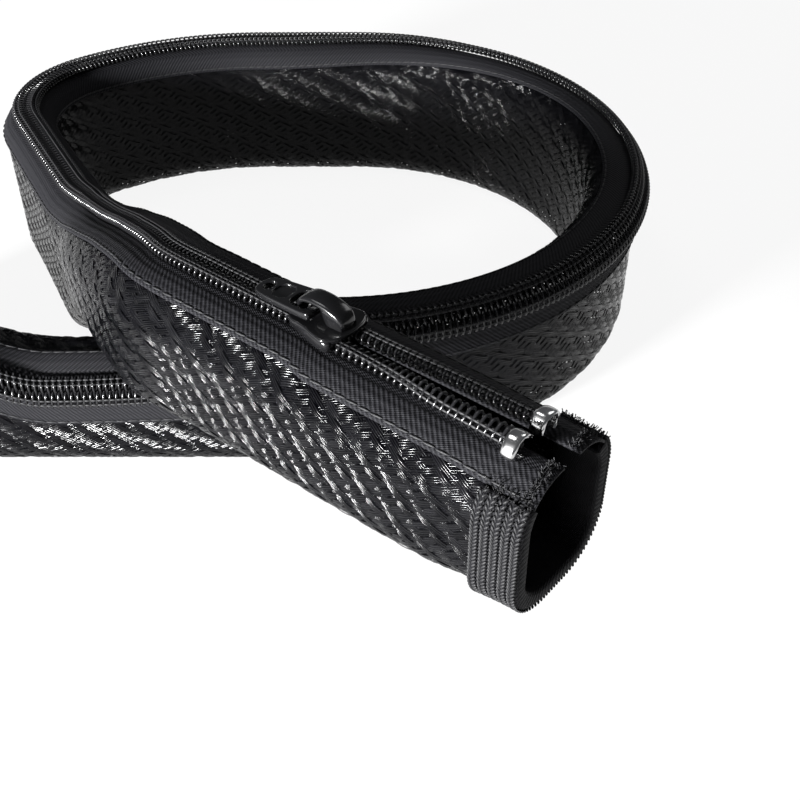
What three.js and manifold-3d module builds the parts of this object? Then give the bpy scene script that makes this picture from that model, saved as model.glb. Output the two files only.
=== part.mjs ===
// A zippered cable sleeve: a braided tube slit along its length, with a coil zipper sewn into the slit.
// It lies in a loop on a table. The mouth end rests across the sleeve's other end and faces +X, with the zipper up.
// All sizes are in millimetres. +Z is up, and the finished group stands on z = 0 under the middle of its outline.
import * as THREE from "three";
import { mergeVertices } from "three/addons/utils/BufferGeometryUtils.js";
import Module from "manifold-3d";

// Fabric sizes
const BRAID_WALL = 0.7;
const RIDGE_HEIGHT = 0.35;
const RIDGE_PITCH = 9;
const CLOSEST_RINGS = 1.2;
const BEND_RING_TURN = 0.16;
const BEND_RING_LENGTH = 1.5;
const SLIDER_RINGS = [-0.5, -0.2, 0.1, 0.4];
const TAPE_WIDTH = 8;
const TAPE_THICKNESS = 0.55;
const TAPE_LAP = 1.5;
const TAPE_FLAT = 1;
const TOUCH_GAP = 0.3;
const CORNER_RADIUS = 8;
const LEAST_FLAT = 0.5;
const FOOT_HALF_WIDTH = 3;
const WALL_COLUMNS = 5;

// Zipper sizes
const COIL_WIDTH = 2.9;
const COIL_HEIGHT = 2.1;
const COIL_BEVEL = 0.5;
const COIL_GROOVE = 0.9;
const COIL_GROOVE_SHIFT = 0.3;
const CORD_SIDE = 0.5;
const MESH_GAP = 0.15;
const TAPE_EDGE = 1.0;
const OPEN_SPREAD = 1.4;
const OPEN_FROM_NOSE = 1;
const OPEN_LENGTH = 8.4;
const STOP_LENGTH = 2.6;
const STOP_WALL = 0.6;
const STOP_TOP_GAP = 0.45;
const STOP_FROM_MOUTH = 6;
const SEAM_WIDTH = 0.6;
const SEAM_HEIGHT = 0.35;

// Hem sizes
const HEM_WIDTH = 9;
const HEM_LAYER = 0.7;
const HEM_RIBS = 5;
const HEM_RIB_HEIGHT = 0.6;
const HEM_MARGIN = 1;
const HEM_THREAD_WIDTH = 0.5;
const HEM_THREAD_HEIGHT = 0.25;

// Slider sizes
const SLIDER_LENGTH = 12;
const SLIDER_FROM_MOUTH = 49;
const SLIDER_WALL = 0.95;
const SLIDER_UNDER_REACH = 0.57;
const TAIL_TAPER = 0.75;
const TAIL_LENGTH_CUT = 1.5;
const FLARE_FROM = -1.8;
const FLARE_TO = 2.4;
const NOSE_CUT = 1.6;
const NOSE_TIP_CUT = 0.3;
const NOSE_TIP_HALF = 0.6;
const NOSE_TAPER = 0.62;
const POST_HALF_WIDTH = 0.6;
const POST_EDGE_HALF = 0.1;
const POST_LENGTH = 3;
const POST_FROM_NOSE = 0.8;
const PIN_X = 2.2;
const PIN_WINDOW = 1.6;
const PIN_REACH = 0.2;
const CAP_LENGTH = 10.4;
const CAP_WIDTH = 4.2;
const CAP_HEIGHT = 4.2;
const CAP_WALL = 0.7;
const CAP_SIDE_WALL = 0.7;
const CAP_ROUNDNESS = 0.75;
const CAP_OPEN_LENGTH = 3.4;
const CAP_OPEN_HEIGHT = 2.1;
const BAR_RADIUS = 0.6;
const BAR_LIFT = 0.35;
const BAR_BACK = 1.6;
const BAR_END_CUT = 0.3;
const PULL_LENGTH = 13.5;
const PULL_OPENING = 5.2;
const PULL_WIDTH = 6.6;
const PULL_THICKNESS = 1.3;
const PULL_ARM = 1.2;
const PULL_NECK = 0.8;
const PULL_SIDE_GAP = 0.4;
const PULL_FRONT = 0.75;
const PULL_FRONT_CUT = 0.4;
const PULL_OPENING_CUT = 0.8;
const PULL_TIP_CUT = 1.6;
const PULL_TIP_SHOULDER = 0.86;
const PULL_TIP_TAPER = 0.5;
const PULL_PANEL_LENGTH = 3.4;
const PULL_RIM = 1.3;
const PULL_PANEL_FROM_NECK = 0.2;
const PULL_PANEL_DEPTH = 0.3;
const PULL_HOLE_RADIUS = 1.0;
const PULL_HOLE_STRETCH = 1.4;
const PULL_HOLE_INSET = 1.2;
const PULL_REST_TILT = -5;
const SPRING_THICKNESS = 0.3;
const SPRING_WIDTH = 1.4;
const SPRING_END_GAP = 0.9;
const SPRING_BAR_GAP = 0.35;

// Route of the sleeve on the table, from the mouth backwards; bends turn right
const MOUTH_X = 0;
const RUN_LENGTH = 78;
const CROSSING_BEND = { radius: 45, turn: 22 };
const LEFT_LENGTH = 115;
const TIGHT_BEND = { radius: 29, turn: 79 };
const BACK_BEND = { radius: 81, turn: 39.7 };
const BACK_LENGTH = 28;
const LOOP_BEND = { radius: 70, turn: 180 };
const TAIL_LENGTH = 88;
const TAIL_BEND = { radius: 60, turn: 39.3 };
const END_LENGTH = 26;

// Heights and widths of the section: the front run and its mouth, then the way over the crossed end and down
const RUN_TOP = 66.6;
const RUN = { bottom: 37.5, width: 26 };
const MOUTH = { bottom: 40.5, width: 22.5 };
const NECK = { fromMouth: 22, bottom: 38.5, width: 25 };
const REST_HALF_LENGTH = 20;
const CLIMB = { top: 64.5, lift: 3, width: 27 };
const SUMMIT = { top: 58.5, width: 27 };
const DESCENT = { top: 51, width: 25 };
const STEP = { past: 40, top: 45, bottom: 10, width: 18 };
const LANDING = { past: 58, top: 41, width: 16 };

// The band that stands on edge round the loop, and the other end where it is crossed and beyond
const BAND_TOP = 40.5;
const BAND_WIDTH = 13.5;
const CROSSED_TOP = 29;
const CROSSED_WIDTH = 19;
const CROSSED_EASE = 3;
const END_TOP = 34;
const END_WIDTH = 19;

// How far the zipper has rolled round the section, towards the outside of the loop
const ROLL_BACK = 1;
const ROLL_LOOP = 6;
const ROLL_LOOP_TURN = 74.5;
const ROLL_TAIL = 7;
const ROLL_CROSSED = 9;
const ROLL_PAST = 11;
const ROLL_END = 1;

const degrees = (angle) => (angle * Math.PI) / 180;

// Heights off the fabric line, stacked from the braid outwards
const tapeLow = TOUCH_GAP;
const tapeHigh = tapeLow + TAPE_THICKNESS;
const coilLow = tapeHigh + TOUCH_GAP;
const coilHigh = coilLow + COIL_HEIGHT;
const tapeOuter = TAPE_EDGE + TAPE_WIDTH;
const braidEdge = tapeOuter - TAPE_LAP;
const coilInner = MESH_GAP;
const coilOuter = MESH_GAP + COIL_WIDTH;
const endInset = HEM_LAYER + TOUCH_GAP;
const half = SLIDER_LENGTH / 2;
const seamLow = tapeHigh + TOUCH_GAP;
const seamHigh = seamLow + SEAM_HEIGHT;
const hemLow = -BRAID_WALL - TOUCH_GAP;
const hemValley = TOUCH_GAP + HEM_LAYER;
const hemCrest = hemValley + HEM_RIB_HEIGHT;

// Route: straight and round stretches, each starting where the last one ends
const stretches = [
  { length: RUN_LENGTH },
  CROSSING_BEND,
  { length: LEFT_LENGTH },
  TIGHT_BEND,
  BACK_BEND,
  { length: BACK_LENGTH },
  LOOP_BEND,
  { length: TAIL_LENGTH },
  TAIL_BEND,
  { length: END_LENGTH },
].map(({ length, radius, turn }) => ({
  radius,
  length: radius ? radius * degrees(turn) : length,
}));
const startOf = (index) => stretches.slice(0, index).reduce((sum, { length }) => sum + length, 0);
const TOTAL_LENGTH = startOf(stretches.length);

function routeAt(distance) {
  let heading = Math.PI;
  let x = MOUTH_X;
  let y = 0;
  let left = distance;
  for (const [index, { radius, length }] of stretches.entries()) {
    const isLast = index === stretches.length - 1;
    const part = isLast ? left : Math.min(left, length);
    if (radius) {
      const turned = heading - part / radius;
      x += radius * (Math.sin(heading) - Math.sin(turned));
      y += radius * (Math.cos(turned) - Math.cos(heading));
      heading = turned;
    } else {
      x += part * Math.cos(heading);
      y += part * Math.sin(heading);
    }
    left -= part;
    if (left <= 0) break;
  }
  return { x, y, heading };
}

// Where the mouth end lies across the band, measured along the route from the mouth
function crossing() {
  const over = routeAt(startOf(2));
  const under = routeAt(startOf(7));
  const [ax, ay] = [Math.cos(over.heading), Math.sin(over.heading)];
  const [bx, by] = [Math.cos(under.heading), Math.sin(under.heading)];
  const [dx, dy] = [under.x - over.x, under.y - over.y];
  const det = ax * by - ay * bx;
  return {
    over: startOf(2) + (dx * by - dy * bx) / det,
    under: startOf(7) + (dx * ay - dy * ax) / det,
  };
}
const { over: OVER_AT, under: UNDER_AT } = crossing();

// Section at chosen places along the route: top, bottom, width and roll
const overBottom = CROSSED_TOP + seamHigh + RIDGE_HEIGHT + TOUCH_GAP;
const endBottom = hemCrest;
const band = { top: BAND_TOP, bottom: 0, width: BAND_WIDTH };
const crossed = { top: CROSSED_TOP, bottom: 0, width: CROSSED_WIDTH };
const end = { top: END_TOP, bottom: endBottom, width: END_WIDTH };
const crossedHalf = REST_HALF_LENGTH + CROSSED_EASE;
const places = [
  { at: 0, top: RUN_TOP, ...MOUTH, roll: 0 },
  { at: NECK.fromMouth, top: RUN_TOP, bottom: NECK.bottom, width: NECK.width, roll: 0 },
  { at: RUN_LENGTH, top: RUN_TOP, ...RUN, roll: 0 },
  { at: OVER_AT - REST_HALF_LENGTH, top: CLIMB.top, bottom: overBottom + CLIMB.lift, width: CLIMB.width, roll: 0 },
  { at: OVER_AT, top: SUMMIT.top, bottom: overBottom, width: SUMMIT.width, roll: 0 },
  { at: OVER_AT + REST_HALF_LENGTH, top: DESCENT.top, bottom: overBottom, width: DESCENT.width, roll: 0 },
  { at: OVER_AT + STEP.past, top: STEP.top, bottom: STEP.bottom, width: STEP.width, roll: 0 },
  { at: OVER_AT + LANDING.past, top: LANDING.top, bottom: 0, width: LANDING.width, roll: 0 },
  { at: startOf(3), ...band, roll: 0 },
  { at: startOf(5), ...band, roll: 0 },
  { at: startOf(6), ...band, roll: ROLL_BACK },
  { at: startOf(6) + LOOP_BEND.radius * degrees(ROLL_LOOP_TURN), ...band, roll: ROLL_LOOP },
  { at: startOf(7), ...band, roll: ROLL_TAIL },
  { at: UNDER_AT - crossedHalf, ...crossed, roll: ROLL_CROSSED },
  { at: UNDER_AT + crossedHalf, ...crossed, roll: ROLL_PAST },
  { at: startOf(8), top: END_TOP, bottom: 0, width: END_WIDTH, roll: ROLL_CROSSED },
  { at: TOTAL_LENGTH - 2 * HEM_WIDTH, top: END_TOP, bottom: 0, width: END_WIDTH, roll: ROLL_END },
  { at: TOTAL_LENGTH - HEM_WIDTH, ...end, roll: 0 },
  { at: TOTAL_LENGTH, ...end, roll: 0 },
];

const ease = (share) => share * share * (3 - 2 * share);
const within = (value, low, high) => Math.min(Math.max(value, low), high);

// Slope of a value at a place, so that the section changes smoothly and never passes the values on either side
function slopeAt(index, key) {
  if (index === 0 || index === places.length - 1) return 0;
  const [before, here, after] = places.slice(index - 1, index + 2);
  const into = (here[key] - before[key]) / (here.at - before.at);
  const out = (after[key] - here[key]) / (after.at - here.at);
  return into * out > 0 ? (2 * into * out) / (into + out) : 0;
}

function sectionAt(distance) {
  const along = within(distance, 0, TOTAL_LENGTH);
  const next = Math.max(1, places.findIndex(({ at }) => at >= along));
  const a = places[next - 1];
  const b = places[next];
  const span = b.at - a.at;
  const share = (along - a.at) / span;
  const leaving = share * (1 - share) ** 2 * span;
  const arriving = share ** 2 * (1 - share) * span;
  const mix = (key) =>
    a[key] + (b[key] - a[key]) * ease(share) + leaving * slopeAt(next - 1, key) - arriving * slopeAt(next, key);
  const section = { top: mix("top"), bottom: mix("bottom"), width: mix("width"), roll: mix("roll") };
  section.radius = Math.min(CORNER_RADIUS, section.width / 2 - LEAST_FLAT);
  const footReach = Math.max(0, FOOT_HALF_WIDTH - (section.width / 2 - section.radius));
  section.bottom -= section.radius - Math.sqrt(section.radius ** 2 - footReach ** 2);
  section.height = section.top - section.bottom;
  section.girth =
    2 * (section.width + section.height) - (8 - 2 * Math.PI) * section.radius;
  return section;
}

// Half of the gap that the open zipper leaves, from the slider to the mouth
function spreadAt(distance) {
  const nose = SLIDER_FROM_MOUTH - half + OPEN_FROM_NOSE;
  const tail = nose + OPEN_LENGTH;
  return OPEN_SPREAD * ease(within((tail - distance) / (tail - nose), 0, 1));
}

// A point of the rounded section: `along` runs round the girth from the top centre, outwards first
function sectionPoint({ width, height, radius, girth }, along) {
  let left = ((along % girth) + girth) % girth;
  const mirrored = left > girth / 2;
  if (mirrored) left = girth - left;
  const flat = width / 2 - radius;
  const wall = height - 2 * radius;
  const arc = (Math.PI / 2) * radius;
  let point;
  if (left < flat) point = [left, height, 0, 1];
  else if (left < flat + arc) {
    const angle = (left - flat) / radius;
    const [s, c] = [Math.sin(angle), Math.cos(angle)];
    point = [flat + radius * s, height - radius + radius * c, s, c];
  } else if (left < flat + arc + wall) point = [width / 2, height - radius - (left - flat - arc), 1, 0];
  else if (left < flat + 2 * arc + wall) {
    const angle = (left - flat - arc - wall) / radius;
    const [s, c] = [Math.sin(angle), Math.cos(angle)];
    point = [flat + radius * c, radius - radius * s, c, -s];
  } else point = [girth / 2 - left, 0, 0, -1];
  if (mirrored) {
    point[0] = -point[0];
    point[2] = -point[2];
  }
  return point;
}

// Place on or near the fabric: distance from the mouth, way round from the zipper, and height off the fabric
function fabricPoint(distance, round, height) {
  const { x, y, heading } = routeAt(distance);
  const section = sectionAt(distance);
  const [across, up, outAcross, outUp] = sectionPoint(section, section.roll + round);
  const side = across + outAcross * height;
  return new THREE.Vector3(
    x - Math.sin(heading) * side,
    y + Math.cos(heading) * side,
    section.bottom + up + outUp * height,
  );
}

// Faces over the end of an outline, which is bent into an arc so that no three of its points lie in one line
function outlineEnd(profile) {
  const arcRadius = 30;
  const bent = profile.map(([along, height]) => {
    const angle = along / arcRadius;
    const reach = arcRadius + height;
    return new THREE.Vector2(reach * Math.cos(angle), reach * Math.sin(angle));
  });
  const turned = THREE.ShapeUtils.isClockWise(bent);
  return THREE.ShapeUtils.triangulateShape(bent, []).map(([a, b, c]) => (turned ? [a, c, b] : [a, b, c]));
}

// Faces over the end of a long wall, whose outline goes out along one side and back along the other
function wallEnd(count) {
  const faces = [];
  for (let k = 0; k + 1 < count / 2; k++)
    faces.push([k, k + 1, count - 2 - k], [k, count - 2 - k, count - 1 - k]);
  return faces;
}

// Closed solid from rings of points, with the faces that close its ends
function solidFromRings(rings, endFaces) {
  const count = rings[0].length;
  const position = rings.flat().flatMap(({ x, y, z }) => [x, y, z]);
  const faces = [];
  for (let ring = 0; ring + 1 < rings.length; ring++)
    for (let k = 0; k < count; k++) {
      const a = ring * count + k;
      const b = ring * count + ((k + 1) % count);
      if ((ring + k) % 2) faces.push(a, b, a + count, b, b + count, a + count);
      else faces.push(a, b, b + count, a, b + count, a + count);
    }
  const last = (rings.length - 1) * count;
  for (const [a, b, c] of endFaces) faces.push(a, c, b, last + a, last + b, last + c);
  return facingOut(position, faces);
}

function facingOut(position, faces) {
  const at = (k) => new THREE.Vector3(...position.slice(3 * k, 3 * k + 3));
  let volume = 0;
  for (let k = 0; k < faces.length; k += 3)
    volume += at(faces[k]).dot(at(faces[k + 1]).cross(at(faces[k + 2])));
  if (volume < 0)
    for (let k = 0; k < faces.length; k += 3)
      [faces[k + 1], faces[k + 2]] = [faces[k + 2], faces[k + 1]];
  const geometry = new THREE.BufferGeometry();
  geometry.setAttribute("position", new THREE.Float32BufferAttribute(position, 3));
  geometry.setIndex(faces);
  geometry.computeVertexNormals();
  return geometry;
}

// Distances of the rings between two ends: closer where the route bends, and at the slider
function ringDistances(from, to) {
  const marks = [];
  stretches.forEach(({ radius, length }, index) => {
    const step = radius ? Math.min(RIDGE_PITCH, radius * BEND_RING_TURN + BEND_RING_LENGTH) : RIDGE_PITCH;
    const steps = Math.ceil(length / step);
    for (let k = 0; k <= steps; k++) marks.push(startOf(index) + (length * k) / steps);
  });
  for (const share of SLIDER_RINGS) marks.push(SLIDER_FROM_MOUTH + share * SLIDER_LENGTH);
  const chosen = [from];
  for (const mark of marks.sort((a, b) => a - b))
    if (mark - chosen.at(-1) > CLOSEST_RINGS && to - mark > CLOSEST_RINGS) chosen.push(mark);
  return [...chosen, to];
}

// A profile of [round, height] points carried along the route; `side` is 1 outside the zipper and -1 inside
function alongRoute(profile, side, from, to, endFaces = outlineEnd(profile)) {
  const rings = ringDistances(from, to).map((distance) =>
    profile.map(([round, height]) =>
      fabricPoint(distance, side * (round + spreadAt(distance)), height),
    ),
  );
  return solidFromRings(rings, endFaces);
}

// Braid: one woven wall from one edge of the slit round to the other, with crossing ridges
function wallRounds(distance) {
  const { girth, roll } = sectionAt(distance);
  const spread = spreadAt(distance);
  const foot = girth / 2 - roll;
  const edge = braidEdge + spread;
  const lap = tapeOuter + spread;
  const outside = foot - FOOT_HALF_WIDTH - lap;
  const inside = girth - lap - foot - FOOT_HALF_WIDTH;
  const rounds = [edge];
  for (let k = 0; k <= WALL_COLUMNS; k++) rounds.push(lap + (outside * k) / WALL_COLUMNS);
  for (let k = 0; k <= WALL_COLUMNS; k++)
    rounds.push(foot + FOOT_HALF_WIDTH + (inside * k) / WALL_COLUMNS);
  return [...rounds, girth - edge];
}

function braidGeometry() {
  const last = 2 * WALL_COLUMNS + 3;
  const flatColumns = [0, 1, WALL_COLUMNS + 1, WALL_COLUMNS + 2, last - 1, last];
  const distances = ringDistances(endInset, TOTAL_LENGTH - endInset);
  const rings = distances.map((distance, ring) => {
    const hemmed = Math.min(distance, TOTAL_LENGTH - distance) < HEM_WIDTH + HEM_MARGIN;
    const outside = wallRounds(distance).map((round, column) => {
      const raised = !hemmed && !flatColumns.includes(column) && (ring + column) % 2;
      return fabricPoint(distance, round, raised ? RIDGE_HEIGHT : 0);
    });
    const inside = wallRounds(distance).map((round) => fabricPoint(distance, round, -BRAID_WALL));
    return [...outside, ...inside.reverse()];
  });
  return solidFromRings(rings, wallEnd(rings[0].length));
}

// Zipper tapes, coils, their filler cords, and the threads that sew tape to braid
const tapeMiddle = coilOuter + TAPE_FLAT;
const tapeProfile = [
  [TAPE_EDGE, tapeLow],
  [tapeMiddle, tapeLow],
  [braidEdge, tapeLow],
  [tapeOuter, tapeLow],
  [tapeOuter, tapeHigh],
  [braidEdge, tapeHigh],
  [tapeMiddle, tapeHigh],
  [TAPE_EDGE, tapeHigh],
];
const grooveInner = coilInner + (COIL_WIDTH - COIL_GROOVE) / 2 + COIL_GROOVE_SHIFT;
const cordInner = grooveInner + (COIL_GROOVE - CORD_SIDE) / 2;
const grooveLow = coilHigh - COIL_GROOVE;
const cordLow = grooveLow + (COIL_GROOVE - CORD_SIDE) / 2;
const coilProfile = [
  [coilInner, coilLow + COIL_BEVEL],
  [coilInner + COIL_BEVEL, coilLow],
  [coilOuter, coilLow],
  [coilOuter, coilHigh - COIL_BEVEL],
  [grooveInner + COIL_GROOVE, coilHigh],
  [grooveInner + COIL_GROOVE, grooveLow],
  [grooveInner, grooveLow],
  [grooveInner, coilHigh],
  [coilInner, coilHigh - COIL_BEVEL],
];
const cordProfile = [
  [cordInner, cordLow],
  [cordInner + CORD_SIDE, cordLow],
  [cordInner + CORD_SIDE, cordLow + CORD_SIDE],
  [cordInner, cordLow + CORD_SIDE],
];
const seamMiddle = tapeOuter - TAPE_LAP / 2;
const seamProfile = [
  [seamMiddle - SEAM_WIDTH / 2, seamLow],
  [seamMiddle + SEAM_WIDTH / 2, seamLow],
  [seamMiddle, seamHigh],
];

// Stops: a staple round each coil at the mouth, and one across both coils at the other end
const stopLow = coilHigh + STOP_TOP_GAP;
const stopHigh = stopLow + STOP_WALL;
function stopProfile(inner, outer) {
  const middle = (inner + outer) / 2;
  return [
    [inner, coilLow],
    [inner, stopHigh],
    [middle, stopHigh],
    [outer, stopHigh],
    [outer, coilLow],
    [outer - STOP_WALL, coilLow],
    [outer - STOP_WALL, stopLow],
    [middle, stopLow],
    [inner + STOP_WALL, stopLow],
    [inner + STOP_WALL, coilLow],
  ];
}
const stopOuter = coilOuter + TOUCH_GAP + STOP_WALL;
const topStopProfile = stopProfile(coilInner - TOUCH_GAP - STOP_WALL, stopOuter);
const bottomStopProfile = stopProfile(-stopOuter, stopOuter);
const coilFrom = STOP_FROM_MOUTH + TOUCH_GAP;
const coilTo = TOTAL_LENGTH - STOP_FROM_MOUTH - TOUCH_GAP;

// Hem: a ribbed binding folded over the cut end of the braid, from one tape round to the other
function roundTheEnd(profile, atDistance) {
  const lastColumn = 2 * WALL_COLUMNS + 2;
  const rings = [];
  for (let column = 1; column <= lastColumn; column++) {
    const shift = { 1: TOUCH_GAP, [lastColumn]: -TOUCH_GAP }[column] ?? 0;
    rings.push(
      profile.map(([along, height]) => {
        const distance = atDistance(along);
        return fabricPoint(distance, wallRounds(distance)[column] + shift, height);
      }),
    );
  }
  return solidFromRings(rings, outlineEnd(profile));
}

function hemGeometry(atDistance) {
  const profile = [
    [endInset - TOUCH_GAP, hemLow],
    [HEM_WIDTH, hemLow],
    [HEM_WIDTH, hemLow - HEM_LAYER],
    [0, hemLow - HEM_LAYER],
    [0, hemValley],
  ];
  for (let rib = 0; rib < HEM_RIBS; rib++) {
    profile.push([((rib + 0.5) * HEM_WIDTH) / HEM_RIBS, hemCrest]);
    profile.push([((rib + 1) * HEM_WIDTH) / HEM_RIBS, hemValley]);
  }
  profile.push([HEM_WIDTH, TOUCH_GAP], [endInset - TOUCH_GAP, TOUCH_GAP]);
  return roundTheEnd(profile, atDistance);
}

// Hem thread: a ring of stitching in a valley between two ribs
function hemThreadGeometry(atDistance) {
  const valley = (3 * HEM_WIDTH) / HEM_RIBS;
  const low = hemValley + TOUCH_GAP;
  const profile = [
    [valley - HEM_THREAD_WIDTH / 2, low],
    [valley + HEM_THREAD_WIDTH / 2, low],
    [valley, low + HEM_THREAD_HEIGHT],
  ];
  return roundTheEnd(profile, atDistance);
}
const fromMouth = (along) => along;
const fromEnd = (along) => TOTAL_LENGTH - along;

// Booleans on closed geometry
const wasm = await Module();
wasm.setup();

function toSolid(geometry) {
  const bare = geometry.clone();
  for (const name of Object.keys(bare.attributes)) if (name !== "position") bare.deleteAttribute(name);
  const merged = mergeVertices(bare, 1e-4);
  return new wasm.Manifold(
    new wasm.Mesh({
      numProp: 3,
      vertProperties: merged.attributes.position.array,
      triVerts: new Uint32Array(merged.index.array),
    }),
  );
}

function toGeometry(solid) {
  const { vertProperties, triVerts } = solid.getMesh();
  const geometry = new THREE.BufferGeometry();
  geometry.setAttribute("position", new THREE.BufferAttribute(vertProperties, 3));
  geometry.setIndex(new THREE.BufferAttribute(triVerts, 1));
  geometry.computeVertexNormals();
  return geometry;
}

function extruded(outline, depth, holes = []) {
  const shape = new THREE.Shape(outline.map(([x, y]) => new THREE.Vector2(x, y)));
  for (const hole of holes) shape.holes.push(new THREE.Path(hole.map(([x, y]) => new THREE.Vector2(x, y))));
  return new THREE.ExtrudeGeometry(shape, { depth, bevelEnabled: false, curveSegments: 8 });
}

const mirrorY = (outline) => [...outline, ...outline.map(([x, y]) => [x, -y]).reverse()];

// Slider body: two wings joined by a post at the nose, with flanges that hold the coils in the channel
const channelHalf = coilOuter + TOUCH_GAP;
const noseHalf = channelHalf + OPEN_SPREAD;
const wingHigh = coilHigh + TOUCH_GAP;
const wingTop = wingHigh + SLIDER_WALL;
const underHigh = tapeLow - TOUCH_GAP;
const underLow = underHigh - SLIDER_WALL;
const tailX = -half + TAIL_LENGTH_CUT;
const noseX = half - NOSE_CUT;

function sliderBodyGeometry() {
  const outline = (grow) =>
    mirrorY([
      [-half, TAIL_TAPER * (channelHalf + grow)],
      [tailX, channelHalf + grow],
      [FLARE_FROM, channelHalf + grow],
      [FLARE_TO, noseHalf + grow],
      [noseX, noseHalf + grow],
      [half - NOSE_TIP_CUT, noseHalf * NOSE_TAPER],
      [half, NOSE_TIP_HALF],
    ]);
  const wing = toSolid(extruded(outline(SLIDER_WALL), SLIDER_WALL).translate(0, 0, wingHigh));
  const under = toSolid(extruded(outline(SLIDER_UNDER_REACH), SLIDER_WALL).translate(0, 0, underLow));
  const flangeLow = coilLow;
  const flangeOutline = [
    [tailX, channelHalf],
    [FLARE_FROM, channelHalf],
    [FLARE_TO, noseHalf],
    [noseX, noseHalf],
    [noseX, noseHalf + SLIDER_WALL],
    [FLARE_TO, noseHalf + SLIDER_WALL],
    [FLARE_FROM, channelHalf + SLIDER_WALL],
    [tailX, channelHalf + SLIDER_WALL],
  ];
  const flangeDepth = wingHigh - flangeLow + SLIDER_WALL / 2;
  const nearFlange = toSolid(extruded(flangeOutline, flangeDepth).translate(0, 0, flangeLow));
  const farOutline = flangeOutline.map(([x, y]) => [x, -y]).reverse();
  const farFlange = toSolid(extruded(farOutline, flangeDepth).translate(0, 0, flangeLow));
  const postX = half - POST_FROM_NOSE;
  const postOutline = [
    [postX - POST_LENGTH, POST_EDGE_HALF],
    [postX - POST_LENGTH / 2, -POST_HALF_WIDTH],
    [postX, -POST_HALF_WIDTH],
    [postX, POST_HALF_WIDTH],
    [postX - POST_LENGTH / 2, POST_HALF_WIDTH],
  ];
  const post = toSolid(
    extruded(postOutline, wingTop - underLow - SLIDER_WALL).translate(0, 0, underLow + SLIDER_WALL / 2),
  );
  const window = toSolid(
    new THREE.BoxGeometry(PIN_WINDOW, SPRING_WIDTH + 2 * TOUCH_GAP, 3 * SLIDER_WALL).translate(PIN_X, 0, wingTop),
  );
  return toGeometry(wing.add(under).add(nearFlange).add(farFlange).add(post).subtract(window));
}

// Cap: a long dome over the top wing, hollow for the locking spring and open at the sides for the pull's bar
const capLow = wingTop + TOUCH_GAP;
const barHeight = capLow + BAR_RADIUS + BAR_LIFT;
const barX = -BAR_BACK;

const MERGE_WITHIN = 0.01;
function domeOutline(length, height, foot) {
  const points = [[-length / 2, foot]];
  const steps = 12;
  for (let k = 0; k <= steps; k++) {
    const angle = Math.PI * (1 - k / steps);
    points.push([(length / 2) * Math.cos(angle), foot + height * Math.sin(angle) ** CAP_ROUNDNESS]);
  }
  points.push([length / 2, foot]);
  return points.filter(([x, y], k) => k === 0 || Math.hypot(x - points[k - 1][0], y - points[k - 1][1]) > MERGE_WITHIN);
}

function capGeometry() {
  const stand = (geometry, depth) => geometry.translate(0, 0, -depth / 2).rotateX(Math.PI / 2);
  const outer = toSolid(stand(extruded(domeOutline(CAP_LENGTH, CAP_HEIGHT, 0), CAP_WIDTH), CAP_WIDTH));
  const innerWidth = CAP_WIDTH - 2 * CAP_SIDE_WALL;
  const innerDome = domeOutline(CAP_LENGTH - 2 * CAP_WALL, CAP_HEIGHT - CAP_WALL, -CAP_WALL);
  const inner = toSolid(stand(extruded(innerDome, innerWidth), innerWidth));
  const barWay = toSolid(
    new THREE.BoxGeometry(CAP_OPEN_LENGTH, 2 * CAP_WIDTH, 2 * CAP_OPEN_HEIGHT).translate(barX, 0, 0),
  );
  return toGeometry(outer.subtract(inner).subtract(barWay)).translate(0, 0, capLow);
}

// Locking spring: a leaf in the cap that passes over the pull's bar, with a pin down through the top wing
function springGeometry() {
  const low = wingTop + TOUCH_GAP;
  const over = barHeight + BAR_RADIUS + TOUCH_GAP;
  const springBend = barX - BAR_RADIUS - SPRING_BAR_GAP;
  const reach = CAP_LENGTH / 2 - CAP_WALL - SPRING_END_GAP;
  const outline = [
    [-reach, low],
    [-reach + SPRING_THICKNESS, low],
    [springBend, over],
    [PIN_X - PIN_REACH, over],
    [PIN_X, wingHigh + PIN_REACH],
    [PIN_X + SPRING_THICKNESS, wingHigh + PIN_REACH],
    [PIN_X + SPRING_THICKNESS, over + SPRING_THICKNESS],
    [springBend - SPRING_THICKNESS / 2, over + SPRING_THICKNESS],
    [-reach, low + SPRING_THICKNESS],
  ];
  return extruded(outline, SPRING_WIDTH).translate(0, 0, -SPRING_WIDTH / 2).rotateX(Math.PI / 2);
}

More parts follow.
